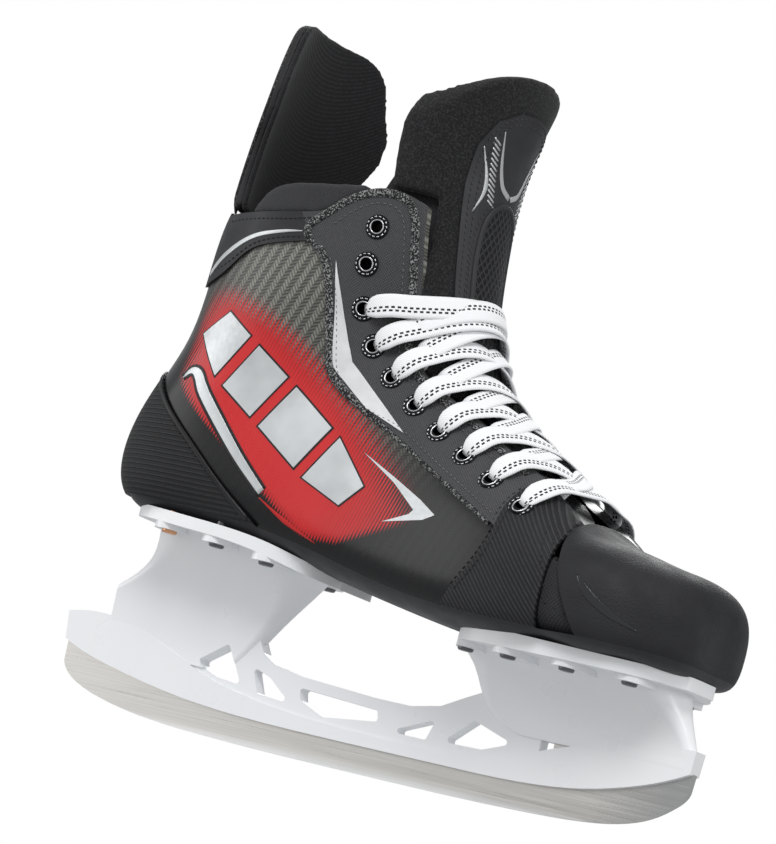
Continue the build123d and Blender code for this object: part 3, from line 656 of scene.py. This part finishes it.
def stitching(name, rows, mat):
    """One piece from several lists of vertices and faces."""
    verts, faces = [], []
    for row_verts, row_faces in rows:
        start = len(verts)
        verts += row_verts
        faces += [tuple(start + i for i in face) for face in row_faces]
    return new_piece(name, verts, faces, mat)


def inside(point, outline):
    """Whether a flat point lies inside a closed outline."""
    x, y = point
    found = False
    for (x0, y0), (x1, y1) in zip(outline, outline[1:] + outline[:1]):
        if (y0 > y) != (y1 > y) and x < (x1 - x0) * (y - y0) / (y1 - y0) + x0:
            found = not found
    return found


PATCH_SUNK = 0.15              # millimetres that a sheet's underside lies in the surface below


def patch(name, surface, outline, lift, mat, grid):
    """A thin sheet laid on a surface inside a flat outline in millimetres, meshed about a grid apart."""
    rim = []
    for (x0, y0), (x1, y1) in zip(outline, outline[1:] + outline[:1]):
        n = max(1, round(math.hypot(x1 - x0, y1 - y0) / (grid * 0.6)))
        rim += [(x0 + (x1 - x0) * k / n, y0 + (y1 - y0) * k / n) for k in range(n)]
    low_x, high_x = min(p[0] for p in rim), max(p[0] for p in rim)
    low_y, high_y = min(p[1] for p in rim), max(p[1] for p in rim)
    fill = []
    for i in range(int((high_x - low_x) / grid)):
        for j in range(int((high_y - low_y) / grid)):
            p = (low_x + (i + 0.5) * grid, low_y + (j + 0.5) * grid)
            if inside(p, rim) and min(math.dist(p, q) for q in rim) > 0.5 * grid:
                fill.append(p)
    flat = [Vector(p) for p in rim + fill]
    made, _, tris, _, _, _ = delaunay_2d_cdt(flat, [], [list(range(len(rim)))], 1, 1e-5)
    placed = [surface.hit(p[0] * MM, p[1] * MM, lift * MM) for p in made]
    depth = (lift + PATCH_SUNK) * MM
    verts = [point for point, _ in placed] + [point - normal * depth for point, normal in placed]
    count = len(placed)
    top, used = [], set()
    for tri in tris:
        p, q, w = (placed[i][0] for i in tri)
        if (q - p).cross(w - p).dot(placed[tri[0]][1]) < 0:
            tri = tri[::-1]
        top.append(tuple(tri))
        used |= {(tri[0], tri[1]), (tri[1], tri[2]), (tri[2], tri[0])}
    walls = [(j, i, i + count, j + count) for i, j in used if (j, i) not in used]
    bottom = [tuple(i + count for i in tri[::-1]) for tri in top]
    return new_piece(name, verts, top + bottom + walls, mat, False)


def soft_copy(name, nodes, voxel, rounds, mat, puff=0.0):
    """One padded piece grown from CAD nodes: remeshed, with rounded edges, and puffed out a little."""
    verts, polys = joined_mesh([NODES[n] for n in nodes])
    obj = new_piece(name, verts, polys, mat)
    remesh = obj.modifiers.new("remesh", "REMESH")
    remesh.mode, remesh.voxel_size, remesh.use_smooth_shade = "VOXEL", voxel * MM, True
    relax = obj.modifiers.new("relax", "SMOOTH")
    relax.factor, relax.iterations = 0.5, rounds
    if puff:
        swell = obj.modifiers.new("swell", "DISPLACE")
        swell.strength, swell.mid_level = puff * MM, 0.0
    final = bake(obj)
    final.materials.clear()
    final.materials.append(mat)
    final.polygons.foreach_set("use_smooth", [True] * len(final.polygons))
    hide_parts(*nodes)
    return obj


# ---------------------------------------------------------------- soft pieces
def add_soft_pieces():
    """The lining, insole, collar foam, tongue and tendon guard; returns the tongue felt and the guard's two
    layers.
    """
    liner = soft_copy("ankle_lining", ["liner"], 1.6, 3, MATERIALS["liner"])
    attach(liner, "boot")
    insole = soft_copy("insole", ["footbed"], 2.0, 3, MATERIALS["footbed"])
    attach(insole, "boot")
    foam = weave_cloth("collar_foam_cloth", (0.022, 0.022, 0.024), (0.060, 0.060, 0.064), 0.7)
    pad = soft_copy("collar_foam", ["collar_pad"], 1.0, 5, foam, 0.5)
    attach(pad, "boot")
    felt = felt_cloth("tongue_felt_cloth", (0.005, 0.005, 0.0055), (0.030, 0.030, 0.032), 0.1)
    tongue = soft_copy("tongue_felt", ["tongue_base", "tongue_top"], 1.0, 22, felt, 0.3)
    inner = diagonal_twill("guard_lining_cloth", (0.006, 0.006, 0.007), (0.020, 0.020, 0.022), 0.9)
    lining = soft_copy("guard_lining", ["tendon_guard_felt"], 0.8, 14, inner, 0.2)
    skin = MATERIALS["tendon_guard"]
    shell = soft_copy("guard_shell", ["tendon_guard"], 0.8, 8, skin, 0.1)
    return tongue, [lining, shell]


# Half outlines on the tongue's front: y and z in millimetres, from the top of the middle line.
FACE = [(0, 266), (10, 265), (18, 259), (21.5, 248), (21.5, 232),
        (19.5, 210), (17.5, 180), (15, 156), (13, 136)]
WINDOW = [(0, 229), (6, 227), (10.5, 220), (12, 208), (11.5, 190), (10.5, 170), (9, 150), (8, 138)]


def whole_outline(half):
    """A closed (y, z) outline from its +Y half, which starts on the middle line at the top."""
    return half + [(-y, z) for y, z in reversed(half) if y]


# Rows of the tongue's soft side: height, front x and rear x.
SIDE_ROWS = [(140, 16, -8), (150, 8, -20), (165, 0, -30), (180, -4.5, -40),
             (196, -7.5, -44), (214, -9, -43), (236, -10, -34)]
SIDE_FRONT_Y, SIDE_SPREAD, SIDE_THICK = 21.6, 5.6, 3.0


def tongue_side(name, s, mat):
    """The soft side of the tongue that goes down inside the facing, a closed sheet curved outwards."""
    outer, inner, columns = [], [], 9
    for z, front, rear in SIDE_ROWS:
        for c in range(columns):
            share = c / (columns - 1)
            x, y = front + (rear - front) * share, SIDE_FRONT_Y + SIDE_SPREAD * share ** 0.7
            outer.append((x * MM, y * s * MM, z * MM))
            inner.append((x * MM, (y - SIDE_THICK) * s * MM, z * MM))
    count, faces = len(outer), []
    for i in range(len(SIDE_ROWS) - 1):
        for c in range(columns - 1):
            a = i * columns + c
            faces.append((a, a + 1, a + 1 + columns, a + columns))
            faces.append(tuple(count + k for k in (a, a + columns, a + 1 + columns, a + 1)))
    low = list(range(columns))
    high = list(range(count - columns, count))
    front = list(range(0, count, columns))
    rear = list(range(columns - 1, count, columns))
    for edge, turned in ((low, True), (high, False), (front, False), (rear, True)):
        for a, b in zip(edge, edge[1:]):
            wall = (a, b, b + count, a + count)
            faces.append(wall[::-1] if turned else wall)
    if s > 0:
        faces = [face[::-1] for face in faces]
    obj = new_piece(name, outer + inner, faces, mat)
    smoother = obj.modifiers.new("round", "SUBSURF")
    smoother.levels = smoother.render_levels = 2
    bake(obj)
    return obj


def tongue_graphic(side, s, on_face, mat):
    """Two tapering lines with a ladder of slanted bars between them."""
    lines = {
        "outer": ([(20.0 * s, 248), (14.5 * s, 233), (17.5 * s, 222)], [0.3, 1.9, 0.3]),
        "inner": ([(14.5 * s, 256), (7.0 * s, 236), (0.6 * s, 232.5)], [0.4, 2.0, 2.2]),
    }
    pieces = []
    for label, (points, widths) in lines.items():
        name = f"tongue_line_{label}_{side}"
        pieces.append(strip(name, on_face, points, widths, 0.22, mat, FLAT))
    bars = []
    for k in range(13):
        y, z = 17.6 - k * 0.44, 252.5 - k * 2.0
        bar = [(y * s, z), ((y - 3.6) * s, z - 2.2)]
        bars.append(sweep(seam_frames(on_face, bar, 0.75, 0.2), FLAT))
    pieces.append(stitching(f"tongue_bars_{side}", bars, mat))
    return pieces


def add_tongue_face(tongue):
    """The smooth face on the felt, with its net window, seams and graphics."""
    smooth_skin = dark_moulding("tongue_skin", (0.022, 0.022, 0.024), 0.5, 1500, 0.15)
    thread = dark_moulding("tongue_thread", (0.035, 0.035, 0.038), 0.5)
    silver = silver_film("tongue_silver", (0.52, 0.53, 0.54))
    on_felt = Surface([tongue], "front")
    face = patch("tongue_face", on_felt, whole_outline(FACE), 0.9, smooth_skin, 2.6)
    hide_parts("tongue_base_cover", "tongue_top_cover")
    on_face = Surface([face, tongue], "front")
    rim = whole_outline(WINDOW)
    window = patch("tongue_net", on_face, rim, 0.5, net_cloth("tongue_net_cloth"), 2.6)
    trim = strip("tongue_net_trim", on_face, rim, 2.6, 0.9, smooth_skin, closed=True)
    rows = []
    for inset in (1.6, 4.0):
        line = [(y * (1 - inset / 21), z - (inset if y < 12 else inset * 0.3)) for y, z in FACE]
        rows.append(stitch_row(on_face, [(-y, z) for y, z in reversed(line) if y] + line, 2.4, 1.6, 0.3))
    rows.append(stitch_row(on_face, [(y * 1.22, z + 2.2) for y, z in rim], 2.4, 1.6, 0.28, closed=True))
    seams = stitching("tongue_stitches", rows, thread)
    pieces = [tongue, face, window, trim, seams]
    side_cloth = weave_cloth("tongue_side_cloth", (0.016, 0.016, 0.018), (0.036, 0.036, 0.040), 0.8)
    pieces += [tongue_side(f"tongue_side_{side}", s, side_cloth) for side, s in SIDES]
    for side, s in SIDES:
        pieces += tongue_graphic(side, s, on_face, silver)
    for piece in pieces:
        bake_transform(piece)


GUARD_EDGE = [(0, 286), (12, 286), (25, 284.8), (31.5, 280.5), (37, 268),
              (41.5, 254), (40, 243), (36, 231), (33.5, 219), (33, 208)]


def add_guard_binding(layers):
    """The piping just inside the guard's edge."""
    binding = speckled("guard_binding_cloth", (0.010, 0.010, 0.011), (0.16, 0.16, 0.165), 0.6)
    on_guard = Surface([NODES["tendon_guard"], NODES["tendon_guard_felt"]], "rear")
    half = [(y - min(y, 1.6), z - 1.4) for y, z in GUARD_EDGE]
    line = [(-y, z) for y, z in reversed(half) if y] + half
    edge = strip("guard_binding", on_guard, line, 3.0, 0.9, binding)
    for piece in [*layers, edge]:
        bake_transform(piece)


# ---------------------------------------------------------------- lace
# Eyelets from the top one down, x and z in millimetres; the lace starts at the third pair.
EYELETS = [(-30, 206), (-31, 191), (-29, 174), (-21.5, 160.5), (-9.5, 150),
           (4, 140.8), (18, 132.5), (33, 125), (48.5, 117.5), (66, 109.5)]
LACED_FROM = 2
LACE_T, LACE_WIDTH = 0.0011, 0.0094
BRAID = [(-0.5, -0.25), (-0.5, 0.25), (-0.36, 0.46), (0, 0.54), (0.36, 0.46),
         (0.5, 0.25), (0.5, -0.25), (0.36, -0.46), (0, -0.5), (-0.36, -0.46)]
LACE_POINTS = 47
ARCH_OUTSIDE, ARCH_NEAR = 0.12, 0.045      # metres from the middle: where rays start, where a miss looks


class Arch:
    """The arc over the instep at a pair of eyelets, from the lateral side at 0 to the medial one at 1."""

    def __init__(self, tree, index):
        x, z = EYELETS[index]
        x0, z0 = EYELETS[index - 1]
        x1, z1 = EYELETS[min(index + 1, len(EYELETS) - 1)]
        angle = math.atan2(z1 - z0, x1 - x0)
        self.middle = Vector((x * MM, 0, z * MM))
        self.up = Vector((-math.sin(angle), 0, math.cos(angle)))
        self.tree = tree

    def at(self, share):
        turn = math.pi * share
        way = Vector((0, -1, 0)) * math.cos(turn) + self.up * math.sin(turn)
        point, _, _, _ = self.tree.ray_cast(self.middle + way * ARCH_OUTSIDE, -way)
        if point is None:
            point, _, _, _ = self.tree.find_nearest(self.middle + way * ARCH_NEAR)
        return point, way


def ribbon(name, points, ups, widths, mat):
    """A flat braid through points, with its U across and V along in millimetres."""
    frames = []
    for i, point in enumerate(points):
        along = (points[min(i + 1, len(points) - 1)] - points[max(i - 1, 0)]).normalized()
        across = along.cross(ups[i]).normalized()
        frames.append((point, across, across.cross(along).normalized(), widths[i], LACE_T))
    verts, faces = sweep(frames, BRAID)
    obj = new_piece(name, verts, faces, mat)
    layer = obj.data.uv_layers.new(name="braid")
    run = [0.0]
    for a, b in zip(points, points[1:]):
        run.append(run[-1] + (b - a).length / MM)
    for loop in obj.data.loops:
        ring, k = divmod(loop.vertex_index, len(BRAID))
        layer.data[loop.index].uv = (BRAID[k][0] * LACE_WIDTH / MM, run[ring])
    return obj


def bell(place, middle, width):
    return math.exp(-((place - middle) / width) ** 2)


def lace_run(own_arch, far_arch, s, last_pair, lifted):
    """Points, ups and widths of one run, from its eyelet on side s to under the facing on the other side."""
    stop = 1.0 if last_pair else 0.885
    points, ups, widths = [], [], []
    for i in range(LACE_POINTS):
        t = i / (LACE_POINTS - 1)
        share = t * stop
        own, way = own_arch.at(share if s == -1 else 1 - share)
        other, other_way = far_arch.at(share if s == -1 else 1 - share)
        w = t * t * (3 - 2 * t) * 0.92
        up = (way * (1 - w) + other_way * w).normalized()
        point = own * (1 - w) + other * w
        ends = min(t, 1 - t) if last_pair else t
        dip = max(0.0, 1 - ends / 0.07)
        sink = -0.0036 * dip * dip
        dive = 0.0 if last_pair else -0.006 * max(0.0, (t - 0.90) / 0.10) ** 2
        over = 0.0009 * bell(t, 0.55, 0.16) * (1 if lifted else -0.4)
        bulge = 0.0016 * bell(ends, 0.12, 0.06)
        points.append(point + up * (sink + dive + over + bulge - 0.0004))
        ups.append(up)
        widths.append(LACE_WIDTH * (1 - 0.55 * dip ** 1.5))
    return points, ups, widths


def add_lace():
    """Crossed runs over every laced pair, and one straight bar at the lowest."""
    braid = lace_weave()
    verts, polys = joined_mesh([NODES["lace"]])
    tree = BVHTree.FromPolygons(verts, polys)
    last = len(EYELETS) - 1
    arches = {k: Arch(tree, k) for k in range(LACED_FROM, last + 1)}
    pieces = []
    for k in range(LACED_FROM, last + 1):
        for side, s in SIDES:
            if k == last and s == 1:
                continue
            lifted = (k + (s > 0)) % 2
            points, ups, widths = lace_run(arches[k], arches[min(k + 1, last)], s, k == last, lifted)
            label = "bar" if k == last else side
            pieces.append(ribbon(f"lace_{k}_{label}", points, ups, widths, braid))
    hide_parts("lace")
    for piece in pieces:
        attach(piece, "boot")


# ---------------------------------------------------------------- trim and graphics on the boot
# Lines and outlines on the boot's side, x and z in millimetres.
FACING_EDGE = [(57, 100.5), (40, 108.6), (20, 118.1), (0, 128.1), (-18, 136.2), (-35, 147), (-40, 161),
               (-45.2, 181), (-50.5, 192), (-60, 199.8), (-53, 207.6), (-42, 216), (-31, 219.6),
               (-21, 218.6), (-16.2, 212), (-14.2, 200), (-12, 178), (-5.5, 157.4), (11, 146.2),
               (25, 139.7), (43, 130.3), (58, 123)]
WHITE_WEDGE = [(-43.9, 190.1), (-39.5, 179), (-35.7, 169.1), (-31.9, 160.5), (-27.8, 152.7), (-12.6, 141.5),
               (4.5, 128.8), (-15, 135.6), (-32.4, 147.2), (-35.3, 149.8), (-37.6, 157), (-40.7, 174.3)]
MARKS = [[(-99.5, 153.5), (-87.5, 163.5), (-74.5, 155.3), (-86.5, 137.3)],
         [(-81.5, 134.0), (-69.5, 152.0), (-53.5, 142.0), (-65.5, 124.0)],
         [(-60.5, 120.8), (-48.5, 138.8), (-27.5, 125.5), (-39.5, 107.5)],
         [(-34.5, 104.3), (-22.5, 122.3), (-5.5, 105.5), (-14.5, 96.5)]]
SWOOSH = [(-102.5, 134.5), (-99, 138.2), (-95, 137), (-91, 131.5), (-80, 120.5), (-66, 107.5), (-51.5, 95.8)]
SWOOSH_W = [0.6, 2.4, 4.0, 4.6, 4.4, 3.8, 3.0]
ARROW = [(-10.1, 118.6), (8, 110.8), (22.6, 104.2), (31.5, 99.3), (26.5, 96.7), (7.6, 93.4), (19.3, 98.0),
         (20.8, 99.9), (8, 108.9)]
RED_FLASH = [(-52, 93.5), (-38, 86.5), (-22, 80.5)]
BAND_STRIPE = [(-109, 179), (-100, 186.5), (-86, 194.5), (-70, 198.3), (-62, 199.3)]
COUNTER_EDGE = [(-122, 137.2), (-106, 122.3), (-88, 108.3), (-72, 95.8), (-56, 84.4)]
TOE_INLAY = [(99, 88), (105, 82), (114, 76.5), (125, 72.5)]
FACING_OUTER_SEAM = [(x + 3.3, z - 0.6) if x < -16 and z < 200 else (x, z + 3.4) for x, z in FACING_EDGE[:9]]
FACING_INNER_SEAM = [(-49, 203.8), (-40, 211.8), (-31, 215.6), (-23, 214.6), (-19.8, 209), (-17.8, 198),
                     (-15.6, 178), (-8.6, 155.4), (9, 143.2), (23, 136.5), (41, 127.2), (55, 120.5)]
# Seams on the boot, each with the pitch, length and radius of its stitches.
BOOT_SEAMS = (
    ([(-118, 133.5), (-104, 119.5), (-86, 105.5), (-70, 93.6), (-58, 84.5)], 2.6, 1.8, 0.34),
    ([(-111, 178.5), (-97, 183.0), (-85, 191.6), (-71.5, 195.6), (-62, 197)], 2.4, 1.7, 0.3),
    ([(-104, 200.6), (-84, 202.2), (-68, 203.6), (-57, 205.6)], 2.4, 1.7, 0.3),
    ([(61.0, 117), (58.6, 108), (58.3, 96), (54, 85), (47, 74.5)], 2.4, 1.7, 0.32),
    ([(64.4, 116), (62, 107), (61.8, 96), (57.4, 84), (50, 73)], 2.4, 1.7, 0.32),
    ([(82.2, 105.5), (85.6, 94), (92, 79.5), (99.5, 68.5)], 2.4, 1.7, 0.32),
    ([(79.2, 104.5), (82.4, 93), (88.6, 78.5), (95.5, 68.5)], 2.4, 1.7, 0.32),
)


def shrink(outline, amount):
    """The outline moved towards its middle, by a share."""
    cx = sum(p[0] for p in outline) / len(outline)
    cy = sum(p[1] for p in outline) / len(outline)
    return [(cx + (x - cx) * (1 - amount), cy + (y - cy) * (1 - amount)) for x, y in outline]


def add_boot_trim():
    """Piping, stitches and graphics on both sides of the boot."""
    heather = speckled("facing_piping_cloth", (0.012, 0.012, 0.013), (0.30, 0.30, 0.30))
    thread = dark_moulding("boot_thread", (0.012, 0.012, 0.013), 0.5)
    pale_thread = dark_moulding("facing_thread", (0.10, 0.10, 0.105), 0.5)
    white = silver_film("wedge_white", (0.86, 0.86, 0.87), 0.4)
    silver = silver_film("side_silver", (0.70, 0.72, 0.73), 0.36)
    dark_edge = dark_moulding("graphic_border", (0.010, 0.010, 0.011), 0.35)
    red = silver_film("side_red", (0.62, 0.02, 0.02), 0.4)
    steel_ring = metal("eyelet_ring", (0.66, 0.66, 0.67), 0.28)
    gloss = dark_moulding("toe_gloss", (0.004, 0.004, 0.005), 0.12, coat=0.6)
    for side, s in SIDES:
        paired = [f"{name}_{side}" for name in ("quarter", "eyestay", "vamp_guard")]
        boot = Surface([NODES[n] for n in (*paired, "heel_counter", "collar_band", "toe_cap")], s)
        pieces = [strip(f"facing_piping_{side}", boot, FACING_EDGE, 3.4, 0.8, heather)]
        pieces.append(patch(f"facing_wedge_{side}", boot, WHITE_WEDGE, 0.35, white, 2.2))
        for i, mark in enumerate(MARKS):
            border = f"side_block_border_{i}_{side}"
            pieces.append(patch(border, boot, shrink(mark, -0.07), 0.14, dark_edge, 2.5))
            pieces.append(patch(f"side_block_{i}_{side}", boot, mark, 0.26, silver, 2.5))
        pieces.append(patch(f"side_arrow_{side}", boot, ARROW, 0.2, silver, 2.2))
        broad = [w + 2.4 for w in SWOOSH_W]
        for name, line, width, height, mat, slot in (
                ("heel_swoosh_border", SWOOSH, broad, 0.2, dark_edge, "quarter"),
                ("heel_swoosh", SWOOSH, SWOOSH_W, 0.36, silver, "quarter"),
                ("red_flash", RED_FLASH, [0.4, 1.9, 0.3], 0.2, red, "quarter"),
                ("band_stripe", BAND_STRIPE, [2.6, 2.4, 1.8, 1.2, 0.4], 0.25, silver, "overlay"),
                ("toe_inlay", TOE_INLAY, [0.6, 3.2, 2.8, 0.5], 0.25, gloss, "toe_cap")):
            pieces.append(strip(f"{name}_{side}", boot, line, width, height, mat, FLAT))
        pieces.append(strip(f"counter_binding_{side}", boot, COUNTER_EDGE, 2.0, 0.5, dark_edge))
        rows = [stitch_row(boot, seam, 2.4, 1.6, 0.3) for seam in (FACING_OUTER_SEAM, FACING_INNER_SEAM)]
        pieces.append(stitching(f"facing_stitches_{side}", rows, pale_thread))
        rows = [stitch_row(boot, *seam) for seam in BOOT_SEAMS]
        pieces.append(stitching(f"boot_stitches_{side}", rows, thread))
        pieces += eyelet_rings(side, s, steel_ring)
        for piece in pieces:
            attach(piece, "boot")


LIP_RADIUS, LIP_POINTS = 2.75, 16
DOT_RADIUS, DOT_COUNT, DOT_TURN = 4.05, 14, 0.24      # a dot's length is a turn in radians


def on_circle(x, z, radius, turn):
    return x + radius * math.cos(turn), z + radius * math.sin(turn)


def eyelet_rings(side, s, mat):
    """A bright inner lip and a ring of small dots on each eyelet."""
    on_eyelets = Surface([NODES["eyelets"]], s)
    lips, dots = [], []
    for x, z in EYELETS:
        ring = [on_circle(x, z, LIP_RADIUS, math.tau * k / LIP_POINTS) for k in range(LIP_POINTS)]
        lips.append(sweep(seam_frames(on_eyelets, ring, 0.55, 0.28, True, 0.0, 0.0006), ROUND, True))
        for k in range(DOT_COUNT):
            turn = math.tau * k / DOT_COUNT
            dot = [on_circle(x, z, DOT_RADIUS, t) for t in (turn, turn + DOT_TURN)]
            dots.append(sweep(seam_frames(on_eyelets, dot, 0.5, 0.2, False, 0.0, 0.0005), ROUND))
    return [
        stitching(f"eyelet_lips_{side}", lips, mat),
        stitching(f"eyelet_dots_{side}", dots, mat),
    ]


# ---------------------------------------------------------------- build
add_camera()
add_studio()
MATERIALS = finish_nodes()
TONGUE_FELT, GUARD_LAYERS = add_soft_pieces()
add_tongue_face(TONGUE_FELT)
add_guard_binding(GUARD_LAYERS)
add_lace()
add_boot_trim()
